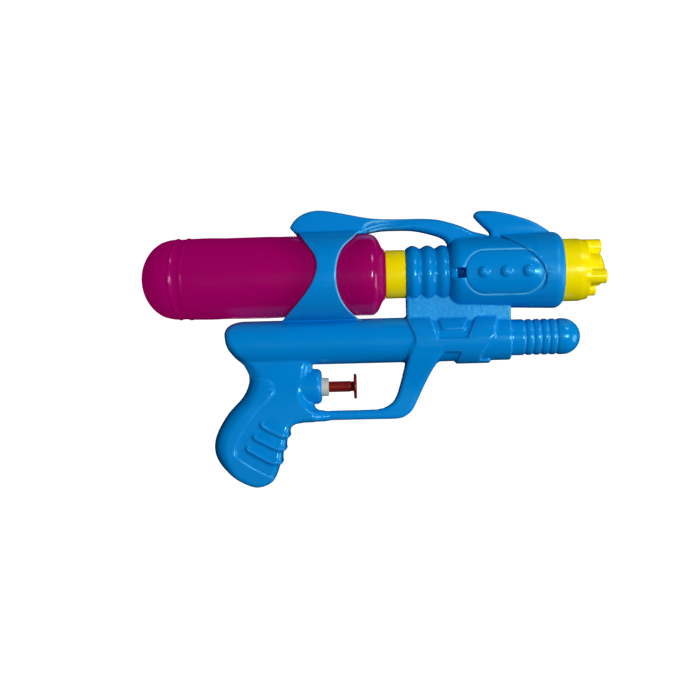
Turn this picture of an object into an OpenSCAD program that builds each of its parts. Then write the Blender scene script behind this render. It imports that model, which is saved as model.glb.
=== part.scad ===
// Hand-pumped toy water squirter: two moulded body shells round a screw-in tank,
// a trigger plunger pump with ball valves, hoses and a front nozzle.
// Millimetres. +X to the muzzle, +Z up, Y = 0 is the parting plane of the shells.
// The origin is the middle of the hand grip.

/* [Body shells] */
// Height of the lower barrel axis above the grip centre
lower_z = 42; // [41.5:0.1:42.5]
// Outer radius of the lower barrel
lower_r = 11; // [10.8:0.1:11.2]
// Height of the axis shared by the tank and the upper barrel
upper_z = 75; // [74.8:0.1:75.3]
// Radius of the upper barrel at its rear
upper_r_rear = 17.4; // [17:0.1:17.8]
// Radius of the upper barrel at its front
upper_r_front = 18.4; // [18:0.1:18.8]
// Wall thickness of the shells
wall = 1.8; // [1.5:0.1:1.9]
// Half thickness of the flat web between the barrels
web_t = 7; // [6.5:0.1:7.5]
// Half thickness of the trigger guard
guard_t = 5; // [4.5:0.1:5.5]
// Half thickness of the top handle
handle_t = 5.4; // [5:0.1:6]

/* [Tank] */
// Outer radius of the tank
tank_r = 20.4; // [20.2:0.05:20.5]
// Wall thickness of the tank
tank_wall = 1.4; // [1:0.1:1.6]
// Radial gap between the tank and the cradle band
cradle_gap = 0.4; // [0.35:0.05:0.6]
// Thickness of the cradle band
band_wall = 1.6; // [1.4:0.1:1.8]
// Thread pitch of the tank neck
thread_pitch = 3; // [2.8:0.1:3.2]

/* [Pump] */
// Height of the pump axis
pump_z = 19.6; // [19.4:0.1:19.8]
// Outer radius of the pump barrel
pump_r = 4.55; // [4.5:0.05:4.6]
// Bore radius of the pump barrel
pump_bore = 3.55; // [3.5:0.05:3.6]
// Radius of the plunger rod
rod_r = 2.68; // [2.6:0.02:2.7]
// Radius of the plunger's finger pad
pad_r = 6.25; // [5.8:0.05:6.5]
// Radius of the valve balls
ball_r = 1.5; // [1.45:0.05:1.5]

/* [Nozzle] */
// Outer radius of the muzzle
muzzle_r = 15.6; // [15.4:0.1:15.6]
// Radius of the jet orifice
jet_r = 0.8; // [0.6:0.05:0.9]

/* [Hidden] */
$fn = 48;
hose_r = 2;
hose_bore = 1.3;
bore_r = tank_r + cradle_gap;      // bore of the cradle band
band_r = bore_r + band_wall;
panel_z = upper_z - 0.9;
valve_x = [5, 10.9];               // inlet and outlet tower
// Shell screws: x, z, height of the seat under the head, reach of the post, depth in the right shell
SCREWS = [[-4, -19, 3.5, 8.8, 5.6], [23.4, 8.4, 3.5, 6.6, 4.4], [1, 42.2, 3.5, 9.6, 5.6], [58, 36.4, 3.5, 9.6, 5.6],
          [120, 37, 3.5, 9.6, 5.6], [110.4, 87.6, 3.5, 11, 5.6], [139, 60.6, 3.5, 11, 5.6], [36, 102.4, 2.2, 4.4, 3.2]];

// ---------- curves ----------
function cr(a, b, c, d, t) = 0.5 * (2 * b + (c - a) * t + (2 * a - 5 * b + 4 * c - d) * t * t
                                  + (3 * b - a - 3 * c + d) * t * t * t);
// smooth curve through the points p, n steps between neighbours
function curve(p, n) = concat(
    [for (i = [0 : len(p) - 2]) for (k = [0 : n - 1])
        cr(p[max(i - 1, 0)], p[i], p[i + 1], p[min(i + 2, len(p) - 1)], k / n)],
    [p[len(p) - 1]]);
// moves a counter-clockwise outline inwards by d
function inset(p, d) = [for (i = [0 : len(p) - 1])
    let (t = p[(i + 1) % len(p)] - p[(i + len(p) - 1) % len(p)], l = norm(t))
    p[i] + d * [-t[1], t[0]] / l];
function arc(cx, cy, r, a0, a1, n) = [for (i = [0 : n])
    [cx + r * cos(a0 + (a1 - a0) * i / n), cy + r * sin(a0 + (a1 - a0) * i / n)]];

// ---------- building blocks ----------
module along_x(x0, x1, r, z) translate([x0, 0, z]) rotate([33, 0, 0]) rotate([0, 90, 0]) cylinder(r = r, h = x1 - x0);
module along_y(x, z, y0, y1, r) translate([x, y1, z]) rotate([90, 0, 0]) cylinder(r = r, h = y1 - y0);
module ring_x(x0, x1, ro, ri, z) difference() {
    along_x(x0, x1, ro, z);
    along_x(x0 - 1, x1 + 1, ri, z);
}
// p holds [radius, x]
module revolve_x(p, z) translate([0, 0, z]) rotate([33, 0, 0]) rotate([0, 90, 0]) rotate_extrude() polygon(p);
// outline in x and z, between two values of y
module plate(p, y0, y1) translate([0, y1, 0]) rotate([90, 0, 0]) linear_extrude(y1 - y0) polygon(p);
module box(x0, x1, y0, y1, z0, z1) translate([x0, y0, z0]) cube([x1 - x0, y1 - y0, z1 - z0]);
module right_half() translate([-100, -60, -60]) cube([320, 60, 220]);

// tube swept along points with an inner bore; the section turns little from ring to ring
module hose(pts, n, ro, ri, sides) {
    c = curve(pts, n);
    m = len(c);
    k = sides;
    up = [0.31, 0.9, 0.17];
    tan = [for (i = [0 : m - 1]) let (d = c[min(i + 1, m - 1)] - c[max(i - 1, 0)]) d / norm(d)];
    u = [for (i = [0 : m - 1]) let (q = cross(tan[i], up)) q / norm(q)];
    v = [for (i = [0 : m - 1]) cross(tan[i], u[i])];
    ring = function (r) [for (i = [0 : m - 1]) for (j = [0 : k - 1])
        c[i] + r * (cos(360 * j / k) * u[i] + sin(360 * j / k) * v[i])];
    pt = concat(ring(ro), ring(ri));
    o = m * k;
    side = [for (i = [0 : m - 2]) for (j = [0 : k - 1]) let (a = i * k + j, b = i * k + (j + 1) % k)
        each [[a, b, b + k], [a, b + k, a + k],
              [o + a, o + b + k, o + b], [o + a, o + a + k, o + b + k]]];
    cap = [for (j = [0 : k - 1]) let (a = j, b = (j + 1) % k, f = (m - 1) * k)
        each [[a, o + a, o + b], [a, o + b, b],
              [f + a, f + b, o + f + b], [f + a, o + f + b, o + f + a]]];
    polyhedron(points = pt, faces = concat(side, cap), convexity = 6);
}

// solid rod swept along a helix about X: turns, mean radius, wire radius
module coil(x0, x1, z, r, w, turns, per, k) {
    m = turns * per;
    c = function (i) [x0 + (x1 - x0) * i / m, r * sin(360 * i / per), z + r * cos(360 * i / per)];
    nrm = function (i) [0, sin(360 * i / per), cos(360 * i / per)];
    pt = concat([for (i = [0 : m]) for (j = [0 : k - 1])
        c(i) + w * (cos(360 * j / k) * nrm(i) + sin(360 * j / k) * [1, 0, 0])], [c(0), c(m)]);
    side = [for (i = [0 : m - 1]) for (j = [0 : k - 1]) let (a = i * k + j, b = i * k + (j + 1) % k)
        each [[a, b, b + k], [a, b + k, a + k]]];
    f = m * k;
    ends = [for (j = [0 : k - 1]) let (b = (j + 1) % k)
        each [[(m + 1) * k, b, j], [(m + 1) * k + 1, f + j, f + b]]];
    polyhedron(points = pt, faces = concat(side, ends), convexity = 8);
}

// helical ridge about X: root and crest radius, width at each, start, turns, phase
module thread(x0, z, r0, r1, w0, w1, turns, phase) {
    per = 30;
    m = turns * per;
    q = function (i, r, dx) let (a = phase + 360 * i / per)
        [x0 + thread_pitch * i / per + dx, -r * sin(a), z + r * cos(a)];
    pt = [for (i = [0 : m]) each [q(i, r0, -w0 / 2), q(i, r1, -w1 / 2), q(i, r1, w1 / 2), q(i, r0, w0 / 2)]];
    flip = r1 > r0;
    side = [for (i = [0 : m - 1]) for (j = [0 : 3]) let (a = 4 * i + j, b = 4 * i + (j + 1) % 4)
        each flip ? [[a, b, b + 4], [a, b + 4, a + 4]] : [[a, b + 4, b], [a, a + 4, b + 4]]];
    f = 4 * m;
    ends = flip ? [[0, 2, 1], [0, 3, 2], [f, f + 1, f + 2], [f, f + 2, f + 3]]
                : [[0, 1, 2], [0, 2, 3], [f, f + 2, f + 1], [f, f + 3, f + 2]];
    polyhedron(points = pt, faces = concat(side, ends), convexity = 6);
}

// ---------- outlines in x, z ----------
GRIP_REAR = [[-3, 31.5], [-0.6, 26], [-1.2, 20.5], [-4.5, 14.5], [-11.5, 7], [-17, -2], [-18.5, -10], [-16, -17],
             [-9.5, -24.3], [-1, -29], [5.5, -29.2], [10.5, -26], [12.8, -20.5]];
GRIP_FRONT = [[15, -14.5], [17.2, -6.5], [19, -1], [21.6, 1.6], [26, 2.8]];
GRIP = concat(
    curve(concat([[-6, 46.5], [-11.7, 45], [-10.6, 40], [-7, 35.5]], GRIP_REAR), 3),
    curve(GRIP_FRONT, 3), [[31, 2.9], [31, 31], [31, 40]]);
// behind the grip the barrel's end is cut back to the line of the web of the hand
HEEL = concat([[-16, 45.6]], curve([[-11.3, 45.6], [-10.1, 40.4], [-6.7, 36.1], [-2.7, 31.9], [-0.4, 27.6]], 3), [[-16, 27.6]]);
// the grip below the barrel, for the hollow inside it
GRIP_LOW = concat([[-3, 42]], curve(GRIP_REAR, 3), curve(GRIP_FRONT, 3), [[31, 2.9], [31, 42]]);
// palm swell low on the grip
SWELL = concat(curve([[-3.6, 9.4], [-9.4, 5.6], [-13.8, -1.4], [-15.4, -9], [-13.4, -15.6], [-8, -22], [-0.6, -26],
                      [4.6, -26.2], [8.2, -23.8], [10.2, -19], [12.4, -12.6], [14.5, -5.6], [15.4, -0.6], [13.4, 4], [5.6, 8.6]], 2));
GUARD = concat(
    curve([[26, 2.75], [34, 3], [60, 3], [72.5, 3], [77, 4.3], [80.2, 7], [82.5, 11], [89.5, 25], [96, 35], [98, 39]], 2),
    curve([[79, 37], [78, 31.5], [75.2, 21.5], [72.6, 14], [69.4, 10.2], [64.5, 8.1], [58.5, 7.7], [46, 7.7], [35, 7.8], [32.2, 9.2], [30.8, 11]], 2),
    [[27, 11.4]]);
HANDLE = concat(
    [[118, 90]],
    curve([[115.5, 93.8], [109, 97], [102, 100], [95.5, 101.8], [88, 102.5], [78, 102.5], [66, 102.6], [59, 103.6],
           [46, 106.4], [39, 107.7], [33.5, 107.8], [28.5, 106.2], [24.8, 103.4], [22, 99.5]], 2),
    [[28, 92], [56, 92]],
    curve([[58, 95], [61.5, 95.9], [67, 96.7], [75, 96.8], [82.5, 96.5], [89, 95.2], [95, 93.4], [98.6, 91.4], [99.6, 89.6]], 2),
    [[104, 86]]);
HANDLE_CAVITY = [[29, 98.4], [52, 98.4], [52, 103.1], [39, 105.8], [34, 106], [30, 104.6], [27, 101]];
BAND = concat(
    curve([[57, 97.5], [52.5, 93.6], [48, 89.5], [45.2, 84], [44, 77.5], [44.2, 70.5], [46, 64], [49.5, 58.3], [54, 54], [57.5, 51]], 2),
    curve([[15, 51], [18.5, 55.7], [24, 61.6], [29, 67.7], [32.6, 74], [34.3, 80], [33.2, 85.8], [29.4, 91.4], [25.8, 96.2], [23.5, 99]], 2));
FIN = concat(
    [[121, 90.6], [149.2, 90.6], [150.4, 95]],
    curve([[145, 98.2], [138, 101.4], [131, 103.8], [124, 105.3], [117.5, 105.9], [114.6, 105.2], [113.4, 103.4], [114.2, 101.8], [117.5, 98.4], [121, 95]], 2));
FIN_CAVITY = [[124, 96], [142.5, 96.2], [137, 99.4], [130.6, 101.6], [124, 103.4], [118.4, 104], [117.2, 102.8]];
RING = concat([[158, 96.5], [123, 96.5]],
    curve([[124.2, 94.3], [130.2, 90.6], [136, 86.5], [141.2, 81.6], [144.9, 76.7], [146.3, 71.7], [145.9, 67.9], [144.2, 64.9], [141, 62.6]], 2),
    [[143, 53], [158, 53]]);
function capsule(r) = concat(arc(133.8, panel_z, r, -90, 90, 14), arc(117.4, panel_z, r, 90, 270, 14));
BLOCK = [[79.5, 55], [79.5, 29], [100.5, 29], [100.5, 34.5], [103, 34.5], [103, 29], [120.5, 29], [120.5, 31],
         [114.5, 31], [122.5, 43.5], [124.5, 55], [114, 55], [109.2, 42.2], [94.4, 42.2], [89.6, 55]];
TRAP = [[93.4, 54], [96.2, 46.4], [107.2, 46.4], [109.4, 54]];

// ---------- body shells ----------
module upper_profile(g, x0, x1) revolve_x(concat([[0, x0]],
    arc(upper_r_rear + g - 6, x0 + 6, 6, -90, 0, 5),
    arc(upper_r_front + g - 4.5, x1 - 4.5, 4.5, 0, 90, 5), [[0, x1]]), upper_z);

module rib_sleeve() revolve_x(concat([[0, 78.4]],
    [for (x = [78.4 : 0.8 : 100.8]) [13.35 + 0.7 * cos(360 * (x - 82.4) / 7.6), x]], [[0, 102]]), upper_z);

module nose() revolve_x(concat([[0, 126], [9, 126], [9, 137.2]],
    [for (x = [138 : 4 : 154]) each [[9, x - 0.8], [8.5, x - 0.4], [8.5, x + 0.4], [9, x + 0.8]]],
    [for (q = arc(0, 0, 9, 0, 90, 8)) [q[0], 156 + q[1]]]), lower_z);

module shell_outer() {
    difference() {
        revolve_x(concat([[0, -12]], arc(lower_r - 6, -6, 6, -90, 0, 5), [[lower_r, 93], [0, 93]]), lower_z);
        plate(HEEL, -13, 13);
    }
    revolve_x([[0, 80], [10.6, 80], [10.6, 130], [9.8, 130.8], [0, 130.8]], lower_z);
    nose();
    intersection() {
        along_x(79.2, 124.8, 12.2, lower_z);
        plate(BLOCK, -13, 13);
    }
    intersection() {
        along_x(92.5, 112, 11.5, lower_z);
        plate(TRAP, -13, 13);
    }
    upper_profile(0, 99.5, 156.8);
    intersection() {
        upper_profile(0.7, 99.6, 156.9);
        plate(RING, -30, 30);
    }
    for (x = [115.2, 126, 136.7]) for (s = [-1, 1])
        translate([x, s * (upper_r_rear - 0.9 + (x - 105) * 0.021), panel_z]) sphere(r = 2.5);
    rib_sleeve();
    plate([[78.6, 48], [130.5, 48], [130.5, 62], [110, 66], [78.6, 66]], -web_t, web_t);
    intersection() {
        along_x(14, 58.5, band_r, upper_z);
        plate(BAND, -30, 30);
    }
    plate(HANDLE, -handle_t, handle_t);
    plate(FIN, -4.2, 4.2);
    plate(GRIP, -5, 5);
    plate(inset(GRIP, 0.9), -7.6, 7.6);
    plate(SWELL, -9.8, 9.8);
    for (s = [-1, 1]) for (r = [[5, 0.6, 15, -3.8], [1.4, -5, 13.4, -10.2], [-2.2, -11, 11.4, -16.6]])
        translate([r[0], s * 9.5, r[1]]) rotate([0, 90 + atan2(r[1] - r[3], r[2] - r[0]), 0])
            cylinder(r = 1.1, h = norm([r[2] - r[0], r[3] - r[1]]));
    plate(GUARD, -guard_t, guard_t);
    revolve_x([[0, 24], [8.8, 24], [8.8, 34.3], [8.2, 35.2], [7.4, 35.5], [0, 35.5]], pump_z);
}

module shell_inner() {
    revolve_x([[0, -9.6], [4.2, -9.6], [5.2, -6], [lower_r - wall, 3], [lower_r - wall, 98], [8.6, 99], [8.6, 128.8], [0, 128.8]], lower_z);
    revolve_x(concat([[0, 126], [7.2, 126]], [for (q = arc(0, 0, 7.2, 0, 90, 6)) [q[0], 156 + q[1]]]), lower_z);
    upper_profile(-wall, 99.5 + wall, 156.8 - wall - 0.2);
    along_x(80.4, 104, 11, upper_z);
    along_x(154, 160, muzzle_r + 0.15, upper_z);
    along_x(152.05, 154.6, 17.1, upper_z);                                     // groove for the muzzle flange
    along_x(78, 81, 9.7, upper_z);
    plate([[80.6, 45], [128.4, 45], [128.4, 60], [110, 64], [104, 70], [80.6, 70]], -web_t + wall, web_t - wall);
    plate(inset(GRIP_LOW, wall), -3.6, 3.6);
    plate(inset(GRIP_LOW, wall + 0.9), -5.7, 5.7);
    plate(inset(SWELL, wall), -8, 8);
    plate(HANDLE_CAVITY, -handle_t + wall, handle_t - wall);
    plate(FIN_CAVITY, -2.5, 2.5);
}

// one body shell, drawn on the right; the left one is its mirror image and takes the screw heads
module shell(heads) {
    difference() {
        intersection() {
            union() {
                difference() {
                    shell_outer();
                    shell_inner();
                }
                along_x(27, 34, 8.5, pump_z);                                  // pump saddle
                box(18, 19.6, -6.4, 6.4, 13, 26.5);                            // pump rib
                ring_x(150, 152, 18, 13.4, upper_z);                           // muzzle stop
                box(101.9, 108.8, -14.9, -11.4, panel_z - 4.7, panel_z + 5.3); // pocket behind the side slot
                for (p = SCREWS) intersection() {
                    along_y(p[0], p[1], -p[3], p[3], 4.3);
                    if (p[1] > 95) plate(HANDLE, -6, 6);
                    else if (p[1] > 55) along_x(100, 155, p[0] > 130 ? upper_r_rear + 0.3 : upper_r_rear - 0.8, upper_z);
                    else if (p[1] > 30) along_x(-11, 129.8, 9.9, lower_z);
                    else box(-20, 30, -10, 10, -30, 20);
                }
            }
            right_half();
        }
        box(103.2, 107.5, -30, -13, panel_z - 2.4, panel_z + 3.1);             // side slot, its rear end shallow
        box(96.5, 103.6, -30, -15.6, panel_z - 2.2, panel_z + 2.9);
        difference() {                                                         // groove round the side panel
            plate(capsule(11.2), -30, -8);
            plate(capsule(10.2), -31, -7);
            upper_profile(-0.5, 99, 157.4);
        }
        along_x(10, 72, bore_r, upper_z);                                      // tank bore
        along_x(17, 36, pump_r + 0.08, pump_z);                                // pump seat
        along_x(29, 31.2, 6.4, pump_z);                                        // flange groove
        for (p = SCREWS) if (heads) {
                along_y(p[0], p[1], -30, 1, 1.5);
                along_y(p[0], p[1], -30, -p[2], 2.9);
            } else along_y(p[0], p[1], -p[4] - 0.6, 1, 1.3);
    }
}

module right_shell() color("dodgerblue") shell(false);
module left_shell() color("dodgerblue") mirror([0, 1, 0]) shell(true);

// pan-head self-tapping screws, driven from the left
module case_screws() color("silver") for (p = SCREWS) difference() {
    union() {
        along_y(p[0], p[1], -p[4], p[2] + 0.2, 1.25);
        along_y(p[0], p[1], p[2], p[2] + 1.7, 2.6);
    }
    box(p[0] - 1.6, p[0] + 1.6, p[2] + 0.9, p[2] + 3, p[1] - 0.3, p[1] + 0.3);
    box(p[0] - 0.3, p[0] + 0.3, p[2] + 0.9, p[2] + 3, p[1] - 1.6, p[1] + 1.6);
}

// ---------- tank ----------
module tank_bottle() color("mediumvioletred") {
    difference() {
        union() {
            revolve_x(concat([[0, -53]],
                [for (a = [10 : 10 : 80]) [(tank_r - 0.3) * sin(a), -35 - 18 * cos(a)]],
                [[tank_r - 0.2, -35.4], [tank_r + 0.2, -34], [tank_r - 0.2, -32.4], [tank_r - 0.4, -31.2],
                 [tank_r - 0.1, -30], [tank_r + 0.2, -28.8], [tank_r, -27]],
                arc(tank_r - 4.5, 60.3, 4.5, 0, 65, 6),
                [[13.8, 65.5], [12, 67], [11.6, 68.2], [8.9, 68.2], [8.9, 76], [0, 76]]), upper_z);
            thread(69.9, upper_z, 8.2, 9.7, 1.4, 0.7, 1.5, 0);
        }
        revolve_x(concat([[0, -51.4]],
            [for (a = [10 : 10 : 80]) [(tank_r - 0.3 - tank_wall) * sin(a), -35 - 16.4 * cos(a)]],
            [[tank_r - tank_wall - 0.3, -34], [tank_r - tank_wall - 0.3, 60]],
            [[14, 64], [7.4, 66.8], [7.4, 77], [0, 77]]), upper_z);
    }
}

module tank_gasket() color("dimgray") ring_x(76.3, 77.3, 8.8, 7.5, upper_z);

// screw socket for the tank, held by its flange in the rear wall of the rib sleeve
module tank_collar() color("gold") difference() {
    union() {
        difference() {
            union() {
                revolve_x([[0, 68.5], [11.7, 68.5], [12.05, 68.9], [12.05, 77.9], [11.8, 78.3], [9.6, 78.3], [9.6, 80.5], [10.8, 80.5], [10.8, 82.5], [0, 82.5]], upper_z);
            }
            along_x(68, 77.6, 9.95, upper_z);
        }
        thread(69.9 + thread_pitch / 2, upper_z, 10.6, 9.15, 1.4, 0.7, 1.5, 0);
        along_x(72, 80, 1.15, upper_z);
        along_x(82, 86.4, 1.15, upper_z);
    }
    along_x(71, 89, 0.7, upper_z);
    translate([0, 0, -6.2]) along_x(77, 83, 0.4, upper_z);
}

module pickup_tube() color("ghostwhite")
    hose([[76.6, 0, upper_z], [66, 0, upper_z], [55, 0, upper_z - 1.5], [38, 0, upper_z - 6.5], [18, 0, upper_z - 11.8],
          [-4, 0, upper_z - 15], [-26, 0, upper_z - 15.6]], 4, hose_r, hose_bore, 10);

module suction_hose() color("ghostwhite")
    hose([[83, 0, upper_z], [88, 0, upper_z], [92, 0.6, 72], [93.8, 1.6, 66], [93.4, 2.6, 58], [90.6, 3.2, 50.4], [84.5, 3.2, 46],
          [76, 3.2, 44.5], [50, 3.2, 44.5], [24, 3.2, 44.5], [14, 3, 43.6], [7.8, 1.7, 39.6], [5.2, 0.4, 35], [5, 0, 31.6], [5, 0, 28.8]],
         3, hose_r, hose_bore, 10);

module discharge_hose() color("ghostwhite")
    hose([[10.9, 0, 28.8], [10.9, 0, 31.9], [11.4, -0.8, 35.4], [14, -2.2, 40], [20, -3, 43.6], [28, -3.2, 44.5], [50, -3.2, 44.5],
          [80, -3.2, 44.5], [99, -3.2, 44.6], [106, -3, 46.6], [110.4, -2.4, 52], [112.2, -1.6, 60], [114.2, -0.8, 68],
          [119, 0, 73.4], [126, 0, upper_z], [140, 0, upper_z], [155.6, 0, upper_z]], 3, hose_r, hose_bore, 10);

// ---------- pump ----------
module pump_barrel() color("whitesmoke") difference() {
    union() {
        revolve_x([[0, 14.05], [pump_r, 14.05], [pump_r, 38.6], [pump_r - 0.4, 39], [0, 39]], pump_z);
        along_x(29.1, 31.1, 6.3, pump_z);
    }
    along_x(13, 40, pump_bore, pump_z);
}

module gland_bush() color("whitesmoke") ring_x(36, 38.8, pump_bore - 0.05, rod_r + 0.05, pump_z);

// finger pad, rod and grooved piston in one moulding
module plunger() color("darkred") revolve_x([[0, 29.8], [1.7, 29.8], [1.9, 30.1], [1.9, 31.8], [3.25, 31.8], [3.25, 33], [2.4, 33], [2.4, 34.8], [3.25, 34.8],
    [3.25, 35.7], [rod_r, 35.7], [rod_r, 49.6], [rod_r - 0.25, 50.2], [rod_r - 0.25, 51.4], [pad_r - 0.4, 51.4], [pad_r, 51.9],
    [pad_r, 52.6], [pad_r - 0.5, 53.1], [0, 53.1]], pump_z);

module piston_seal() color("dimgray") ring_x(33.1, 34.7, pump_bore - 0.05, 2.45, pump_z);

module return_spring() color("silver") coil(16.45, 31.35, pump_z, 2.7, 0.35, 7, 20, 6);

// gallery at the rear of the pump with two valve towers
module valve_block() color("whitesmoke") difference() {
    union() {
        along_x(2, 14, pump_r, pump_z);
        along_x(13.5, 16, pump_bore - 0.05, pump_z);
        for (x = valve_x) translate([x, 0, pump_z]) cylinder(r = 2.9, h = 7.8);
    }
    along_x(4.4, 17, 1.6, pump_z);
    ring_x(14.4, 15.6, 5, 2.85, pump_z);
    for (x = valve_x) {
        translate([x, 0, pump_z]) cylinder(r = 1, h = 5);
        translate([x, 0, pump_z + 3]) cylinder(r = ball_r + 0.3, h = 6);
    }
    box(valve_x[0] - 0.4, valve_x[0] + 0.4, -1.7, 1.7, pump_z + 2, pump_z + 3.2);
}

module barrel_seal() color("dimgray") ring_x(14.5, 15.5, pump_bore - 0.03, 2.9, pump_z);

// hose barb that closes a valve tower and stops the ball
module tower_cap(x, slotted) translate([x, 0, pump_z]) difference() {
    union() {
        translate([0, 0, 6.45]) cylinder(r = ball_r + 0.25, h = 1.5);
        translate([0, 0, 7.8]) cylinder(r = 2.9, h = 1.2);
        translate([0, 0, 8.9]) cylinder(r = 1.15, h = 3.2);
    }
    translate([0, 0, 6]) cylinder(r = 0.7, h = 8);
    if (slotted) translate([-0.4, -1.3, 6]) cube([0.8, 2.6, 1]);
}
module inlet_cap() color("whitesmoke") tower_cap(valve_x[0], false);
module outlet_cap() color("whitesmoke") tower_cap(valve_x[1], true);

module inlet_ball() color("silver") translate([valve_x[0], 0, pump_z + 4.2]) sphere(r = ball_r);
module outlet_ball() color("silver") translate([valve_x[1], 0, pump_z + 4.2]) sphere(r = ball_r);

// ---------- nozzle ----------
// cup with three stub lugs round a domed hub
module muzzle() color("gold") difference() {
    union() {
        difference() {
            revolve_x([[0, 152.2], [16.9, 152.2], [16.9, 154.3], [muzzle_r, 154.3], [muzzle_r, 165.4], [14.2, 167.6], [13.2, 168.8], [0, 168.8]], upper_z);
            ring_x(150, 166, 13, 4.4, upper_z);
        }
        revolve_x(concat([[0, 168], [7, 168]], [for (q = arc(0, 0, 10, 44.427, 90, 5)) [q[0] * 0.98, 168.2 + q[1]]]), upper_z);
        for (a = [0 : 120 : 240]) translate([0, 0, upper_z]) rotate([a + 17, 0, 0]) translate([166.6, -11, 0]) rotate([0, 90, 0])
            rotate_extrude() polygon([[0, 0], [3.65, 0], [3.65, 8.8], [3.4, 9.5], [2.8, 9.9], [0, 9.9]]);
    }
    along_x(150, 180, 2.45, upper_z);
    along_x(150, 158.1, 3.5, upper_z);
}

module jet_nozzle() color("whitesmoke") difference() {
    revolve_x([[0, 150.6], [1.15, 150.6], [1.15, 156], [3.4, 156], [3.4, 158], [2.4, 158], [2.4, 177.6], [0, 177.6]], upper_z);
    along_x(150, 170.3, 0.65, upper_z);
    along_x(170.2, 178, jet_r, upper_z);
}

right_shell();
left_shell();
case_screws();
tank_bottle();
tank_gasket();
tank_collar();
pickup_tube();
suction_hose();
discharge_hose();
pump_barrel();
gland_bush();
plunger();
piston_seal();
return_spring();
valve_block();
barrel_seal();
inlet_cap();
outlet_cap();
inlet_ball();
outlet_ball();
muzzle();
jet_nozzle();
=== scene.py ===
import math

import bmesh
import bpy
import numpy as np
from mathutils import Matrix, Vector


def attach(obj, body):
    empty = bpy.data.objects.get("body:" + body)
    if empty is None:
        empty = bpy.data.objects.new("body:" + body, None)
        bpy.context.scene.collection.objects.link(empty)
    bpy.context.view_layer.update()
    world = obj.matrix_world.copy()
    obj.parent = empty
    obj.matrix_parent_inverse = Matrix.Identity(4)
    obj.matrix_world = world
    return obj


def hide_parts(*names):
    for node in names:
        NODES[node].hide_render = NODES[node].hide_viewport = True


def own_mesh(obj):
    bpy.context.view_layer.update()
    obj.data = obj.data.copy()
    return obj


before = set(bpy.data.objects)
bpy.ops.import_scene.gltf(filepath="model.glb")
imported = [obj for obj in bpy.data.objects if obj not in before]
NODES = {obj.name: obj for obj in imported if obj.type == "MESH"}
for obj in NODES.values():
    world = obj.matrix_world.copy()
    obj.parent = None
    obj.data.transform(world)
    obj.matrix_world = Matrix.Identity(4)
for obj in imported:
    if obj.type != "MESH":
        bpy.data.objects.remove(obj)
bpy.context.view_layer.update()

MM = 0.001
STEP = 0.4            # grid step of the moulded shells, mm
scene = bpy.context.scene

# ------------------------------------------------------------------ camera
ROLL = math.radians(1.45)
cam_data = bpy.data.cameras.new("camera")
cam_data.sensor_width = 36.0
cam_data.lens = 61.71
cam_data.clip_start = 0.01
cam_data.clip_end = 50.0
cam = bpy.data.objects.new("camera", cam_data)
scene.collection.objects.link(cam)
c, s = math.cos(ROLL), math.sin(ROLL)
cam.matrix_world = Matrix(((c, s, 0, 0.050), (0, 0, -1, -0.600), (-s, c, 0, 0.03775), (0, 0, 0, 1)))
scene.camera = cam
scene.view_settings.view_transform = "Standard"
scene.view_settings.look = "None"


# ------------------------------------------------------------------ outlines
def curve(p, n=5):
    """Smooth line through the points, n steps between neighbours."""
    p = [np.array(q, float) for q in p]
    out = []
    for i in range(len(p) - 1):
        a, b, c, d = p[max(i - 1, 0)], p[i], p[i + 1], p[min(i + 2, len(p) - 1)]
        for k in range(n):
            t = k / n
            out.append(0.5 * (2 * b + (c - a) * t + (2 * a - 5 * b + 4 * c - d) * t * t + (3 * b - a - 3 * c + d) * t ** 3))
    out.append(p[-1])
    return [tuple(q) for q in out]


def at_depth(pts, u):
    """Moves an outline as the camera sees it on the parting plane to the distance u in front of that plane."""
    k = 1 - u / 600.0
    return [(50 + (x - 50) * k, 37.75 + (z - 37.75) * k) for x, z in pts]


def on_round(pts, z0, r):
    """The same for points on the near side of a round bar of radius r at height z0."""
    out = []
    for x, z in pts:
        q = (x, z)
        for _ in range(6):
            q = at_depth([(x, z)], math.sqrt(max(r * r - (q[1] - z0) ** 2, 0.0)))[0]
        out.append(q)
    return out


GRIP_REAR = at_depth([(-3.2, 31.6), (-0.7, 26), (-1.2, 20.6), (-4.4, 14.7), (-11.3, 7.3), (-16.9, -2), (-18.5, -9.6), (-16.3, -16.8), (-9.6, -24.2),
                      (-1, -28.9), (4.8, -29.3), (9.8, -26.7), (12.3, -21.8)], 4)
GRIP_FRONT = at_depth([(13.3, -18.5), (15.0, -12.2), (17.0, -6), (18.6, -0.9), (21.3, 1.4), (26, 2.6)], 4)
HEEL = curve([(-7.4, 50), (-11.5, 45.6), (-10.7, 40.3), (-7.1, 35.6)] + GRIP_REAR[:1])[:-1]
CORE = HEEL + curve(GRIP_REAR) + curve(GRIP_FRONT) + [(31, 2.9), (31, 31), (31, 40)]
# the thick side of the grip stops short of the pump boss in a hollow curve
SIDE = HEEL + curve(GRIP_REAR) + curve(GRIP_FRONT) + curve([(31, 2.9), (37.5, 3.2), (38.5, 5.4), (35.4, 7.2), (32, 7.9), (29.9, 9.6), (28.2, 12.9), (27.3, 16.6), (28.1, 21),
                                                            (29, 26), (29.8, 31), (30.4, 34)]) + [(30.4, 40)]
# rear end of the lower barrel, seen from the side
REAR = curve([(0, 66), (-2.6, 59), (-6, 55.2), (-9.7, 52.2), (-11.8, 48.6), (-11.8, 45), (-10.6, 40.7), (-7.2, 35.7), (-3.4, 31.9), (-1.2, 28), (-1, 24)]) + [(97, 24), (97, 64)]
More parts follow.
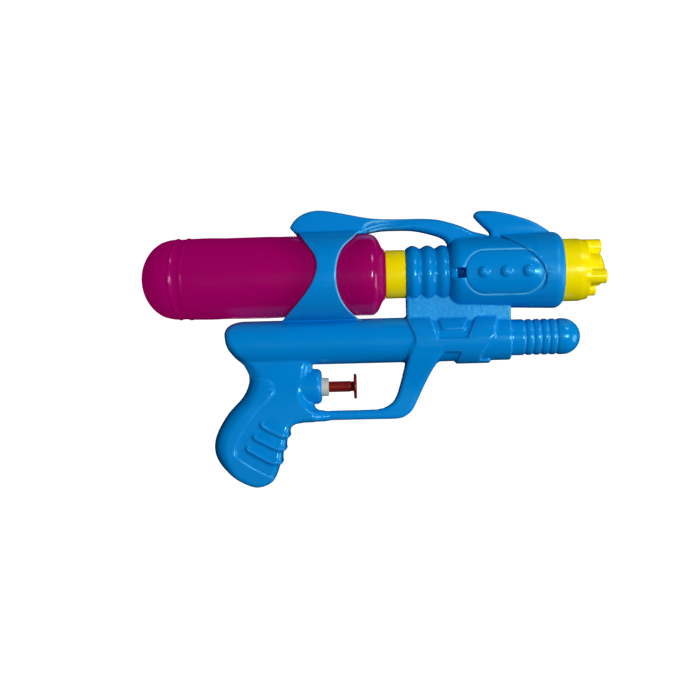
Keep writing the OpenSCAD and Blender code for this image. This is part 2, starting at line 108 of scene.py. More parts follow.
# edge of the raised back of the grip
BACK = at_depth(curve([(-3, 25.4), (2, 25.2), (7, 24.5), (10.2, 22.6), (11.5, 19.6), (10.8, 16.8), (8.4, 13.6), (1.7, 6.5), (-3.5, -0.9), (-7.7, -8.3),
                       (-8.6, -11.8), (-7.2, -15), (-1.5, -19.2), (4.4, -22.6), (9, -24.7), (15, -26.4)]), 9) + [(15, -36), (-30, -36), (-30, 25.4)]
# crests of the three finger pads; each falls off steeply below its crest
PADS = [at_depth(curve(q, 4), 9) for q in (
    [(5.0, 1.4), (5.7, 0.4), (8.3, -1.3), (11.3, -2.8), (13.6, -3.9), (15.8, -4.5), (21, -5.2)],
    [(1.2, -4.7), (2.0, -5.7), (5.0, -7.2), (7.6, -8.6), (10.7, -10.2), (12.9, -10.9), (19, -11.7)],
    [(-2.5, -10.4), (-1.7, -11.4), (1.1, -13.1), (4.4, -15), (7.0, -16.4), (9.6, -17.6), (11.4, -17.9), (17, -18.4)])]
GUARD = curve([(24, 2.7), (34, 3), (60, 3), (72.5, 3), (77, 4.3), (80.2, 7), (82.5, 11), (89.5, 25), (96, 35), (98.6, 39.2), (99.4, 40.6)]) + curve(
    [(81.4, 40.6), (79.6, 37), (78, 31.5), (75.2, 21.5), (72.6, 14), (69.4, 10.2), (64.5, 8.1), (58.5, 7.7), (46, 7.7), (35, 7.8), (32.2, 9.2),
     (30.8, 11)]) + [(24, 11.4)]
HANDLE = [(122.5, 90)] + at_depth(curve([(120.4, 93.6), (116.4, 94.7), (113, 95.6), (109, 97.5), (105, 99.2), (101, 100.5), (95.5, 101.9), (88, 102.6), (78, 102.7), (72, 102.8), (66, 103), (59, 103.8), (46, 106.5),
                                       (39, 107.7), (33.5, 107.8), (28.3, 106.3), (24.2, 103.6), (21.3, 99.6)]), 4) + [(28, 92), (56, 92)] + curve(
    [(58, 95), (61.5, 95.9), (67, 96.7), (75, 96.8), (82.5, 96.5), (89, 95.2), (94.6, 93.5), (97.8, 92), (99.2, 90.4), (99.6, 88.4)]) + [(99.8, 85)]
# flutes that run out along the root of the handle
FLUTES = [at_depth(curve(q, 4), 5) for q in (
    [(58.4, 98.1), (60.4, 99.3), (63, 100.2), (67.2, 100.8), (74.2, 101.2), (84, 101.2)],
    [(58.9, 96.9), (61.4, 97.9), (64.3, 98.7), (69.6, 99.5), (76.6, 100.05), (86, 100)])]
# crests between and beside the flutes, where pale highlight lines are painted
PAINTED_HIGHLIGHT_CRESTS = [at_depth(curve(q, 4), 5) for q in (
    [(59, 99.9), (61, 100.8), (63.3, 101.4), (67.6, 101.6), (75, 101.6)],
    [(59.4, 97.8), (61.2, 98.4), (63.3, 99.1), (66.8, 99.8), (72, 100.3)],
    [(61.5, 96.8), (64.7, 97.6), (68.6, 98.4), (75, 98.8)])]
BAND = on_round(curve([(56.4, 97.5), (52.5, 93.6), (48, 89.5), (45.2, 84), (44, 77.5), (44.2, 70.5), (46, 64), (49.5, 58.3), (54, 54), (58.5, 50)]) + curve(
    [(13.6, 50), (18.5, 55.7), (24, 61.6), (29, 67.7), (32.6, 74), (34.3, 80), (33.2, 85.8), (29.4, 91.4), (25.8, 96.2), (23.5, 99)]), 75.0, 22.4)
FIN = [(121, 88), (149.2, 88), (150.4, 94.6)] + at_depth(curve([(145, 98.6), (140.9, 100.6), (137, 102), (131, 103.9), (124, 105.4), (117.5, 105.9), (114.6, 105.2),
                                                               (113.4, 103.4), (114.2, 101.8), (117.5, 98.4), (121, 95)]), 2)
RING = [(160, 97.5), (122, 97.5)] + on_round(curve([(123.5, 95.2), (127.6, 92.8), (131.3, 91.2), (137.8, 87.6), (143.8, 82.9), (147.8, 77.9), (149.4, 72.8),
                                                    (148.8, 68.8), (146.7, 65.5), (143.4, 63.6), (138, 62)]), 75.0, 18.6) + [(141, 52), (160, 52)]
BLOCK = on_round(curve([(77.4, 58), (78.2, 54), (80.4, 49), (82.4, 44.5), (82.8, 40.5), (81.6, 36), (79.4, 31.6), (77.6, 27)]) + [
    (92, 27), (97, 35.6), (103.6, 35.6), (105.4, 35.2), (104.9, 33.4), (102.9, 30.4), (102.3, 27), (120.3, 27), (120.3, 31.2), (114.6, 31.2), (122.6, 43.5), (124.6, 57), (114.6, 57),
    (109.0, 42.3), (94.6, 42.3), (89.2, 57)], 42.0, 12.5)
TRAP = on_round([(92.6, 56), (96.4, 46.4), (107.4, 46.4), (110.4, 56)], 42.0, 11.8)
# x, z, seat under the head, depth of the pilot in the right shell
SCREWS = [(-4, -19, 3.5, 6.2), (23.4, 8.4, 3.5, 5.0), (1, 42.2, 3.5, 6.2), (58, 36.4, 3.5, 6.2), (120, 37, 3.5, 6.2), (110.4, 87.6, 3.5, 6.2), (139, 60.6, 3.5, 6.2),
          (36, 102.4, 2.2, 3.8)]


# ------------------------------------------------------------------ distance fields, in mm; u is the distance from the parting plane
def smin(a, b, k):
    h = np.clip(0.5 + 0.5 * (b - a) / k, 0, 1)
    return b + (a - b) * h - k * h * (1 - h)


def smax(a, b, k):
    return -smin(-a, -b, k)


def ramp(v, lo, hi):
    t = np.clip((v - lo) / (hi - lo), 0, 1)
    return t * t * (3 - 2 * t)


def corner(a, b, r):
    """Both distances hold, with the edge between them rounded to radius r."""
    p, q = a + r, b + r
    return np.sqrt(np.maximum(p, 0) ** 2 + np.maximum(q, 0) ** 2) + np.minimum(np.maximum(p, q), 0) - r


def seg_distance(x, z, a, b):
    ex, ez = b[0] - a[0], b[1] - a[1]
    t = np.clip(((x - a[0]) * ex + (z - a[1]) * ez) / (ex * ex + ez * ez), 0, 1)
    return np.sqrt((x - a[0] - ex * t) ** 2 + (z - a[1] - ez * t) ** 2), t


def line_distance(x, z, pts):
    best = None
    for a, b in zip(pts[:-1], pts[1:]):
        q = seg_distance(x, z, a, b)[0]
        best = q if best is None else np.minimum(best, q)
    return best


class Field:
    """Distances on a regular grid. The current window is a range of x and z that the next shapes are drawn in."""

    def __init__(self, lo, hi, step):
        self.h = step
        self.lo = np.array(lo, float)
        self.axes = [np.arange(lo[i], hi[i] + step * 0.5, step, dtype=np.float32) for i in range(3)]
        self.d = np.full([len(a) for a in self.axes], 40.0, np.float32)
        self.window()

    def window(self, x0=-1e6, x1=1e6, z0=-1e6, z1=1e6):
        ax, az = self.axes[0], self.axes[2]
        ix = slice(int(np.searchsorted(ax, x0)), int(np.searchsorted(ax, x1)))
        iz = slice(int(np.searchsorted(az, z0)), int(np.searchsorted(az, z1)))
        self.at = (ix, slice(None), iz)
        self.X = ax[ix][:, None, None]
        self.U = self.axes[1][None, :, None]
        self.A = np.abs(self.U)
        self.Z = az[iz][None, None, :]

    @property
    def here(self):
        return self.d[self.at]

    @here.setter
    def here(self, v):
        self.d[self.at] = v

    def rho(self, z):
        return np.sqrt(self.U ** 2 + (self.Z - z) ** 2)

    def outline(self, pts):
        """Signed distance to an outline in x and z, the same for every u."""
        x, z = self.X[:, 0, :], self.Z[0]
        best = np.full((x.shape[0], z.shape[1]), 1e9, np.float32)
        inside = np.zeros(best.shape, bool)
        for a, b in zip(pts, pts[1:] + pts[:1]):
            if abs(a[0] - b[0]) + abs(a[1] - b[1]) < 1e-6:
                continue
            best = np.minimum(best, seg_distance(x, z, a, b)[0])
            if a[1] != b[1]:
                inside ^= ((a[1] > z) != (b[1] > z)) & (x < (b[0] - a[0]) * (z - a[1]) / (b[1] - a[1]) + a[0])
        return np.where(inside, -best, best)[:, None, :]

    def round_bar(self, x0, x1, r, z, r0, r1):
        """Round bar along x, its ends rounded by r0 and r1; r may follow x."""
        mid = 0.5 * (x0 + x1)
        e = np.where(self.X < mid, r0, r1)
        return corner(np.abs(self.X - mid) - 0.5 * (x1 - x0), self.rho(z) - r, e)

    def add(self, v, k):
        self.here = smin(self.here, v, k)

    def sample(self, d, p):
        """d at the points p, between the grid's own points."""
        q = (p - self.lo) / self.h
        q = np.clip(q, 0, np.array(d.shape) - 1.001)
        i = q.astype(np.int32)
        f = (q - i).astype(np.float32)
        flat, (ny, nz) = d.reshape(-1), d.shape[1:]
        base = (i[:, 0] * ny + i[:, 1]) * nz + i[:, 2]
        out = np.zeros(len(p), np.float32)
        for a in (0, 1):
            wa = f[:, 0] if a else 1 - f[:, 0]
            for b in (0, 1):
                wb = wa * (f[:, 1] if b else 1 - f[:, 1])
                for c in (0, 1):
                    out += wb * (f[:, 2] if c else 1 - f[:, 2]) * flat[base + (a * ny + b) * nz + c]
        return out

    def slope(self, d, p, e):
        g = np.empty((len(p), 3), np.float32)
        for k in range(3):
            o = np.zeros(3)
            o[k] = e
            g[:, k] = self.sample(d, p + o) - self.sample(d, p - o)
        return g / (2 * e)

    def surface(self, d):
        """Quads on the zero level of d, points moved onto it."""
        s = d < 0
        n = np.zeros([k - 1 for k in d.shape], np.uint8)
        cs = [(a, b, c) for a in (0, 1) for b in (0, 1) for c in (0, 1)]
        for a, b, c in cs:
            n += s[a:s.shape[0] - 1 + a, b:s.shape[1] - 1 + b, c:s.shape[2] - 1 + c]
        act = (n > 0) & (n < 8)
        cell = np.argwhere(act).astype(np.int32)
        index = np.full(act.shape, -1, np.int32)
        index[act] = np.arange(len(cell), dtype=np.int32)
        acc = np.zeros((len(cell), 3), np.float32)
        cnt = np.zeros(len(cell), np.float32)
        val = {o: d[cell[:, 0] + o[0], cell[:, 1] + o[1], cell[:, 2] + o[2]] for o in cs}
        for p in cs:
            for k in range(3):
                if p[k] == 0:
                    q = tuple(1 if i == k else p[i] for i in range(3))
                    a, b = val[p], val[q]
                    m = (a < 0) != (b < 0)
                    t = a[m] / (a[m] - b[m])
                    acc[m] += np.array(p, np.float32)
                    acc[m, k] += t
                    cnt[m] += 1
        pts = (cell + acc / cnt[:, None]) * self.h + self.lo
        for _ in range(2):
            g = self.slope(d, pts, 0.5 * self.h)
            v = self.sample(d, pts)
            move = g * (v / np.maximum((g * g).sum(1), 0.2))[:, None]
            pts = pts - np.clip(move, -0.3 * self.h, 0.3 * self.h)
        quads = []
        for k in range(3):
            a1, a2 = (k + 1) % 3, (k + 2) % 3
            lo = [slice(1, -1)] * 3
            hi = [slice(1, -1)] * 3
            lo[k], hi[k] = slice(0, -1), slice(1, None)
            e0, e1 = s[tuple(lo)], s[tuple(hi)]
            w = np.argwhere(e0 != e1)
            first = e0[tuple(w.T)]
            w = w + 1
            w[:, k] -= 1
            ring = []
            for o1, o2 in ((-1, -1), (0, -1), (0, 0), (-1, 0)):
                q = w.copy()
                q[:, a1] += o1
                q[:, a2] += o2
                ring.append(index[tuple(q.T)])
            f = np.stack(ring, 1)
            f[~first] = f[~first][:, ::-1]
            quads.append(f)
        return pts, np.concatenate(quads)


# ------------------------------------------------------------------ the moulded body
def build_body():
    f = Field((-20.6, -0.8, -31.4), (166.6, 24.2, 109.6), STEP)

    # lower barrel, its rear end following the web of the hand
    f.window(-14, 97, 24, 60)
    f.here = corner(np.maximum(f.outline(REAR), f.X - 95), f.rho(42.1) - 11.2, 3.6)

    # grip: neck under the barrel, thick palm; the back stands a little proud
    f.window(-20.6, 44, -31.4, 52)
    z, x = f.Z, f.X
    core, side, back = f.outline(CORE), f.outline(SIDE), f.outline(BACK)
    thick = 7.1 + 3.0 * ramp(-z, -37, -9) - 0.5 * ramp(-z, 14, 30)
    thick = thick - 0.6 * ramp(back, -0.32, 0.32) - 4.4 * ramp(x, 30.5, 37)
    edge = 2.4 + 4.4 * ramp(8 - x + 0.55 * z, 0, 18) * ramp(-z, -38, -26) + 2.2 * ramp(x, 17, 23) * ramp(z, 6, 12) * ramp(-z, -34, -29)
    grip = corner(side, f.A - thick, np.minimum(edge, thick - 0.3))
    for q in PADS:
        best, drop, along = None, None, None
        n = len(q) - 1
        for i, (a, b) in enumerate(zip(q[:-1], q[1:])):
            e, t = seg_distance(x, z, a, b)
            below = ((b[0] - a[0]) * (z - a[1]) - (b[1] - a[1]) * (x - a[0])) < 0
            if best is None:
                best, drop, along = e, below, (i + t) / n
            else:
                near = e < best
                best, drop, along = np.where(near, e, best), np.where(near, below, drop), np.where(near, (i + t) / n, along)
        reach = 0.9 + 3.5 * ramp(along, 0.04, 0.5)          # blunt at the rear end, long slope towards the front
        slope = 0.65 * np.exp(-(best / reach) ** 1.7) + 0.35 * np.exp(-(best / 1.1) ** 2)
        lift = np.where(drop, np.exp(-(best / 0.85) ** 2), slope)
        grip = grip - 1.5 * lift
    grip = smin(grip, corner(core, f.A - 4.8, 1.6), 1.2)
    f.add(grip, 0.8)

    # trigger guard, widening into the block above it
    f.window(20, 106, -1, 50)
    guard = f.outline(GUARD)
    thick = 5.0 + 7.1 * ramp(f.Z, 14, 41) * ramp(f.X, 60, 76)
    f.add(corner(guard, f.A - thick, 2.2), 2.0)

    # pump boss
    f.window(14, 42, 5, 34)
    boss = np.sqrt((1.07 * f.U) ** 2 + (f.Z - 20.0) ** 2) - 8.85
    f.add(corner(np.maximum(20 - f.X, f.X - 35.5), boss, 2.5), 0.5)

    # sleeve and nose on the lower axis
    f.window(76, 166.6, 26, 58)
    f.add(f.round_bar(84, 130.0, 11.0, 41.85, 0.6, 0.9), 0.4)
    r = 9.05 + 0 * f.X
    for k in range(5):
        g = 137.3 + 3.9 * k
        r = r - 0.42 * np.exp(-np.abs((f.X - g) / 0.75) ** 1.7) - 0.34 * np.exp(-((f.X - g) / 0.42) ** 2)
    tip = np.where(f.X > 156, np.sqrt((f.X - 156) ** 2 + f.rho(42.0) ** 2) - 9.05, f.rho(42.0) - r)
    f.add(np.maximum(tip, 126 - f.X), 0.4)
    f.window(74, 128, 26, 58)
    rho = f.rho(42.0)
    lean = 0.6 * (rho - 11.9)          # the block's walls lean outwards
    f.add(corner(f.outline(BLOCK) + lean, rho - 12.5, 0.6), 0.7)
    f.add(corner(f.outline(TRAP) + 0.6 * (rho - 11.4), rho - 12.15, 0.5), 0.5)

    # flat web between the barrels
    f.window(74, 136, 40, 72)
    web = corner(f.outline([(78.6, 44), (130.2, 44), (130.2, 62), (112, 66), (78.6, 66)]), f.A - 6.3, 0.9)
    f.add(web, 0.5)

    # ribbed throat and upper barrel
    f.window(76, 104, 56, 94)
    w = (f.X - 82.25 + 3.7) % 7.4 - 3.7
    r = 12.4 + 1.65 * np.abs(np.cos(np.pi * w / 7.4)) ** 1.15
    f.add(corner(np.abs(f.X - 91) - 12.5, f.rho(75.0) - r, 0.9), 0.4)
    f.window(96, 160, 52, 98)
    r = 17.45 + 1.6 * np.clip((f.X - 106) / 46.0, 0, 1)
    upper = f.round_bar(99.5, 156.8, r, 75.2, 6.5, 5.2)
    ring = f.outline(RING)
    cap = np.sqrt((f.X - np.clip(f.X, 117.5, 135.2)) ** 2 + (f.Z - 74.1) ** 2) - 10.7
    fade = ramp(f.Z, 61, 68)
    upper = upper + 1.2 * np.exp(-np.maximum(ring, 0) / 3.4) * ramp(ring, -0.3, 0.3) * fade
    upper = upper + 0.5 * np.exp(-(cap / 0.55) ** 2) * ramp(ring, -0.4, 0.4)
    for cx in (115.8, 126.7, 137.5):
        ry = 17.45 + 1.6 * (cx - 106) / 46.0
        ball = np.sqrt((f.X - cx) ** 2 + (f.A - ry + 1.1) ** 2 + (f.Z - 74.2) ** 2) - 2.9
        upper = smin(upper, ball, 0.5)
    f.add(upper, 0.4)

    # cradle band round the tank
    f.window(8, 64, 46, 104)
    rho = f.rho(75.0)
    band = corner(f.outline(BAND), np.abs(rho - 21.6) - 0.8, 0.75)
    f.add(band, 0.6)

    # top handle and fin
    f.window(16, 124, 82, 109.6)
    hd = f.outline(HANDLE)
    handle = corner(hd, f.A - 5.4, 1.8 + 1.0 * ramp(f.X, 60, 72))
    for q in FLUTES:
        handle = handle + 1.4 * np.exp(-(line_distance(f.X, f.Z, q) / 0.62) ** 2) * ramp(f.X, 57.5, 60) * ramp(-f.X, -88, -70)
    f.add(handle, 0.8)
    f.window(108, 156, 84, 109.6)
    f.add(corner(f.outline(FIN), f.A - 4.2 + 0.9 * ramp(f.Z, 95, 106), 1.4 + 1.6 * ramp(-f.X, -126, -118)), 0.8)
    f.window()
    outer = f.d.copy()

    # hollow inside
    d = np.maximum(outer, -(outer + 1.8))
    f.d = d
    for px, pz, seat, depth in SCREWS:
        f.window(px - 6, px + 6, pz - 6, pz + 6)
        post = np.maximum(np.sqrt((f.X - px) ** 2 + (f.Z - pz) ** 2) - 4.3, outer[f.at] + 0.9)
        f.here = smin(f.here, post, 0.5)
    f.window(15, 40, 8, 32)
    saddle = np.maximum(np.maximum(27 - f.X, f.X - 34), f.rho(19.6) - 8.2)
    rib = np.maximum(np.maximum(np.abs(f.X - 18.8) - 0.8, f.A - 6.4), np.abs(f.Z - 19.8) - 6.7)
    f.here = np.minimum(f.here, np.minimum(saddle, np.maximum(rib, outer[f.at] + 0.6)))
    f.here = smax(f.here, -np.maximum(f.rho(19.6) - 4.68, f.X - 40), 0.2)
    f.here = np.maximum(f.here, -np.maximum(np.abs(f.X - 30.1) - 1.2, f.rho(19.6) - 6.5))
    f.window(144, 162, 52, 98)
    f.here = np.minimum(f.here, np.maximum(np.abs(f.X - 151) - 1.0, np.maximum(13.4 - f.rho(75.0), f.rho(75.0) - 18.0)))
    f.here = smax(f.here, -np.maximum(153.9 - f.X, f.rho(75.0) - 15.8), 0.5)
    f.here = np.maximum(f.here, -np.maximum(np.abs(f.X - 153.3) - 1.35, f.rho(75.0) - 17.2))
    f.window(76, 84, 60, 90)
    f.here = smax(f.here, -(f.rho(75.0) - 9.75), 0.2)
    f.window(8, 74, 50, 100)
    f.here = smax(f.here, -(f.rho(75.0) - 20.8), 0.3)
    # side slot with a floor behind it
    f.window(94, 114, 64, 84)
    pocket = np.maximum(np.maximum(np.abs(f.X - 105.7) - 3.6, np.abs(f.Z - 74.2) - 4.0), np.maximum(6.0 - f.U, f.U - 14.9))
    f.here = np.minimum(f.here, np.maximum(pocket, outer[f.at] + 0.4))
    deep = corner(corner(np.abs(f.X - 105.5) - 1.95, np.abs(f.Z - 74.0) - 2.45, 0.3), 7.6 - f.U, 0.2)
    shallow = corner(np.maximum(np.abs(f.X - 100.0) - 4.2, np.abs(f.Z - 74.0) - 2.3), 14.5 + 0.16 * (f.X - 100) - f.U, 0.3)
    f.here = smax(f.here, -deep, 0.5)
    f.here = smax(f.here, -shallow, 0.5)
    f.window()
    return f, outer


def grid_object(name, pts, quads, flip):
    me = bpy.data.meshes.new(name)
    if flip:
        quads = quads[:, ::-1]
    me.vertices.add(len(pts))
    me.vertices.foreach_set("co", (pts * MM).astype(np.float32).ravel())
    me.loops.add(quads.size)
    me.loops.foreach_set("vertex_index", np.ascontiguousarray(quads, np.int32).ravel())
    me.polygons.add(len(quads))
    me.polygons.foreach_set("loop_start", np.arange(0, quads.size, 4, dtype=np.int32))
    me.update(calc_edges=True)
    ob = bpy.data.objects.new(name, me)
    scene.collection.objects.link(ob)
    return ob


def thin_out(ob, ratio, unseen=None):
    """Fewer faces where the surface is flat, and most of all on the unseen points."""
    mod = ob.modifiers.new("thin", "DECIMATE")
    mod.ratio = ratio
    if unseen is not None:
        group = ob.vertex_groups.new(name="unseen")
        group.add(np.nonzero(unseen)[0].tolist(), 1.0, "REPLACE")
        group.add(np.nonzero(~unseen)[0].tolist(), 0.5, "REPLACE")
        mod.vertex_group = group.name
        mod.vertex_group_factor = 2.0e-7
    dg = bpy.context.evaluated_depsgraph_get()
    me = bpy.data.meshes.new_from_object(ob.evaluated_get(dg))
    ob.modifiers.clear()
    ob.vertex_groups.clear()
    old = ob.data
    ob.data = me
    me.name = ob.name
    bpy.data.meshes.remove(old)


def coords(me):
    p = np.empty(len(me.vertices) * 3, np.float32)
    me.vertices.foreach_get("co", p)
    return p.reshape(-1, 3)


def point_value(me, name, v):
    a = me.attributes.new(name, "FLOAT", "POINT")
    a.data.foreach_set("value", np.ascontiguousarray(v, np.float32))


def shade_from(ob, f, d, sign, form=None):
    """Smooth normals and a convex-edge value straight from the distance field."""
    me = ob.data
    me.polygons.foreach_set("use_smooth", np.ones(len(me.polygons), bool))
    p = coords(me) / MM
    p[:, 1] *= sign
    g = f.slope(d, p, f.h)
    g /= np.maximum(np.linalg.norm(g, axis=1), 1e-6)[:, None]
    e = 0.7
    form = d if form is None else form
    bend = np.zeros(len(p), np.float32)
    for k in range(3):
        o = np.zeros(3)
        o[k] = e
        bend += f.sample(form, p + o) + f.sample(form, p - o)
    bend = (bend - 6 * f.sample(form, p)) / (e * e)
    point_value(me, "edge", np.clip((bend - 0.25) * 1.2, 0, 1))
    n = g.copy()
    n[:, 1] *= sign
    me.normals_split_custom_set_from_vertices(n.tolist())
    return p


field, outer = build_body()
shells = []
for name, sign, node in (("right_shell_moulding", -1, "right_shell"), ("left_shell_moulding", 1, "left_shell")):
    d = field.d.copy()
    field.d, kept = d, field.d
    for px, pz, seat, depth in SCREWS:
        field.window(px - 5, px + 5, pz - 5, pz + 5)
        hole = np.sqrt((field.X - px) ** 2 + (field.Z - pz) ** 2)
        if sign < 0:
            field.here = np.maximum(field.here, -np.maximum(hole - 1.3, field.U - depth))
        else:
            field.here = np.maximum(field.here, -(hole - 1.5))
            field.here = smax(field.here, -np.maximum(hole - 2.95, seat - field.U), 0.4)
    field.window()
    d = smax(d, 0.012 - field.U, 0.35)
    field.d = kept
    pts, quads = field.surface(d)
    unseen = field.sample(outer, pts) < -0.7
    pts[:, 1] *= sign
    ob = grid_object(name, pts, quads, sign < 0)
    thin_out(ob, min(1.0, 190000 / (2 * len(quads))), unseen)
    p = shade_from(ob, field, d, sign, outer)
    on_web = (np.abs(p[:, 1] - 6.3) < 0.25) & (p[:, 0] > 78.2) & (p[:, 0] < 130.4) & (p[:, 2] > 49) & (p[:, 2] < 66)
    point_value(ob.data, "grain", on_web.astype(np.float32))
    # painted highlights: distances to the lines that get a pale colour standing in for highlights, on the panel's rim,
    # the cradle band's front edge and the crests at the handle root
    painted_highlight_mm = np.sqrt((p[:, 0] - np.clip(p[:, 0], 117.5, 135.2)) ** 2 + (p[:, 2] - 74.1) ** 2) - 10.7
    painted_highlight_mm = np.where(p[:, 1] > 12, np.abs(painted_highlight_mm - 0.25), 9.0)          # mm from the panel's rim, where a painted highlight line goes
    front = line_distance(p[:, 0], p[:, 2], BAND[:46])          # mm from the front edge of the cradle band
    on_band = (np.hypot(p[:, 1], p[:, 2] - 75.0) > 21.0) & (p[:, 0] > 30) & (p[:, 0] < 60) & (p[:, 2] > 52) & (p[:, 2] < 96)
    painted_highlight_mm = np.minimum(painted_highlight_mm, np.where(on_band, 0.48 * front, 9.0))
    root = (p[:, 0] > 57) & (p[:, 0] < 80) & (p[:, 2] > 95)
    for q, width in zip(PAINTED_HIGHLIGHT_CRESTS, (0.5, 0.75, 0.75)):
        near = width * line_distance(p[:, 0], p[:, 2], q) + 0.4 * ramp(p[:, 0], 64, 75)
        painted_highlight_mm = np.minimum(painted_highlight_mm, np.where(root, near, 9.0))
    point_value(ob.data, "painted_highlight_mm", painted_highlight_mm)
    # the front end of the upper barrel is scuffed and less shiny
    point_value(ob.data, "matt", ramp(p[:, 0], 141.5, 144) * (p[:, 2] > 58))
    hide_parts(node)
    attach(ob, "body")
    shells.append(ob)
    print(name, len(quads), "quads,", len(ob.data.polygons), "faces kept")


# ------------------------------------------------------------------ turned pieces
def lathe(name, profile, z, body, nodes, n=160, wave=None):
    """Closed outline of (x, radius) turned about the X axis at height z. Points on the axis become poles."""
    bm = bmesh.new()
    rings = []
    for x, r in profile:
        if r < 1e-4:
            rings.append([bm.verts.new((x * MM, 0, z * MM))])
            continue
        ring = []
        for k in range(n):
            a = 2 * math.pi * k / n
            q = r + (wave(x, a, r) if wave else 0)
            ring.append(bm.verts.new((x * MM, -q * math.cos(a) * MM, (z + q * math.sin(a)) * MM)))
        rings.append(ring)
    m = len(rings)
    closed = len(rings[0]) > 1 or len(rings[-1]) > 1
    for i in range(m if closed else m - 1):
        a, b = rings[i], rings[(i + 1) % m]
        if len(a) == 1 and len(b) == 1:
            continue
        for k in range(n):
            l = (k + 1) % n
            if len(a) == 1:
                bm.faces.new((a[0], b[l], b[k]))
            elif len(b) == 1:
                bm.faces.new((a[k], a[l], b[0]))
            else:
                bm.faces.new((a[k], a[l], b[l], b[k]))
    bmesh.ops.recalc_face_normals(bm, faces=bm.faces)
    me = bpy.data.meshes.new(name)
    bm.to_mesh(me)
    bm.free()
    me.polygons.foreach_set("use_smooth", np.ones(len(me.polygons), bool))
    me.set_sharp_from_angle(angle=math.radians(50))
    ob = bpy.data.objects.new(name, me)
    scene.collection.objects.link(ob)
    if nodes:
        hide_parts(*nodes)
    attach(ob, body)
    return ob


def rounded(pts, n=5):
    """Outline of (x, r, fillet) with each corner rounded to its fillet."""
    out = []
    m = len(pts)
    for i, (x, r, q) in enumerate(pts):
        p = np.array((x, r), float)
        if q <= 0:
            out.append((x, r))
            continue
        a = np.array(pts[i - 1][:2], float) - p
        b = np.array(pts[(i + 1) % m][:2], float) - p
        la, lb = np.linalg.norm(a), np.linalg.norm(b)
        a, b = a / la, b / lb
        half = 0.5 * math.acos(max(-1, min(1, float(a @ b))))
        t = min(q / math.tan(half), 0.48 * la, 0.48 * lb)
        q = t * math.tan(half)
        mid = (a + b) / np.linalg.norm(a + b)
        cen = p + mid * (q / math.sin(half))
        s0, s1 = p + a * t - cen, p + b * t - cen
        a0 = math.atan2(s0[1], s0[0])
        turn = (math.atan2(s1[1], s1[0]) - a0 + math.pi) % (2 * math.pi) - math.pi
        for k in range(n + 1):
            w = a0 + turn * k / n
            out.append((cen[0] + q * math.cos(w), cen[1] + q * math.sin(w)))
    return out


def tank_wave(x, a, r):
    if r < 19.2 or x > 61:
        return 0.0
    w = 0.07 * math.sin(0.21 * x + 0.6 * math.sin(2 * a)) + 0.06 * math.sin(3 * a + 0.05 * x) + 0.04 * math.sin(0.47 * x - 2 * a)
    return w - 0.12


tank = []
for k in range(0, 31):
    a = math.radians(3 * k)
    tank.append((-35 - 18 * math.cos(a), 20.2 * math.sin(a)))
tank += curve([(-34.9, 20.25), (-34.4, 20.5), (-34, 20.58), (-33.6, 20.5), (-33, 20.15), (-31.6, 20.02), (-30, 20.12), (-29.3, 20.45), (-28.8, 20.55),
               (-28.2, 20.45), (-27.3, 20.3), (-24, 20.36)], 3)
tank += [(x, 20.4) for x in range(-22, 60, 3)]
tank += curve([(60.2, 20.38), (61.6, 20.2), (63, 19.65), (64.2, 18.6), (65.2, 17.1), (66, 15.5), (66.6, 14.2), (67.2, 13.2), (67.8, 12.6), (68.2, 12.3)], 4) + [(68.25, 9.2), (68.5, 8.9), (75.7, 8.9), (76, 8.6), (76, 7.6), (75.8, 7.4), (66.8, 7.4),
               (64.4, 13.0), (62.6, 16.2), (60, 18.4), (57, 18.7)]
tank += [(x, 18.7) for x in range(48, -35, -12)] + [(-35 - 16.4 * math.cos(math.radians(3 * k)), 18.7 * math.sin(math.radians(3 * k))) for k in range(29, -1, -1)]
tank_ob = lathe("tank_moulding", tank, 75.0, "tank", ["tank_bottle"], 192, tank_wave)
# the two beads and the domed end reach further back on the flanks than at the top
q = coords(tank_ob.data)
flank = q[:, 1] ** 2 / np.maximum(q[:, 1] ** 2 + (q[:, 2] - 75.0 * MM) ** 2, 1e-9)
q[:, 0] -= 3.2 * MM * flank * ramp(-q[:, 0] / MM, 15, 27) * ramp(q[:, 0] / MM, -52, -34)
tank_ob.data.vertices.foreach_set("co", q.ravel())
tank_ob.data.update()
# painted shade beside the cradle band: closeness to the band, which dims the tank's glow
near_band = line_distance(q[:, 0] / MM, q[:, 2] / MM, BAND + BAND[:1])
point_value(tank_ob.data, "painted_band_shade", np.exp(-(near_band / 10.5) ** 2))


def add_thread(ob, x0, z, r0, r1, w0, w1, pitch, turns):
    """Helical ridge on the neck, its ends tapering out."""
    bm = bmesh.new()
    bm.from_mesh(ob.data)
    n = int(48 * turns)
    rows = []
    for i in range(n + 1):
        a = 2 * math.pi * i / 48
        end = min(1.0, i / 6, (n - i) / 6)
        rr = r0 + (r1 - r0) * max(end, 0.12)
        row = []
        for dx, r in ((-w0 / 2, r0), (-w1 / 2, rr), (w1 / 2, rr), (w0 / 2, r0)):
            row.append(bm.verts.new(((x0 + pitch * i / 48 + dx) * MM, -r * math.sin(a) * MM, (z + r * math.cos(a)) * MM)))
        rows.append(row)
    fs = []
    for a, b in zip(rows[:-1], rows[1:]):
        for k in range(4):
            l = (k + 1) % 4
            fs.append(bm.faces.new((a[k], a[l], b[l], b[k])))
    fs += [bm.faces.new(rows[0]), bm.faces.new(rows[-1][::-1])]
    bmesh.ops.recalc_face_normals(bm, faces=fs)
    for f in fs:
        f.smooth = True
    bm.to_mesh(ob.data)
    bm.free()


add_thread(tank_ob, 69.9, 75.0, 8.6, 9.7, 1.4, 0.7, 3.0, 1.5)

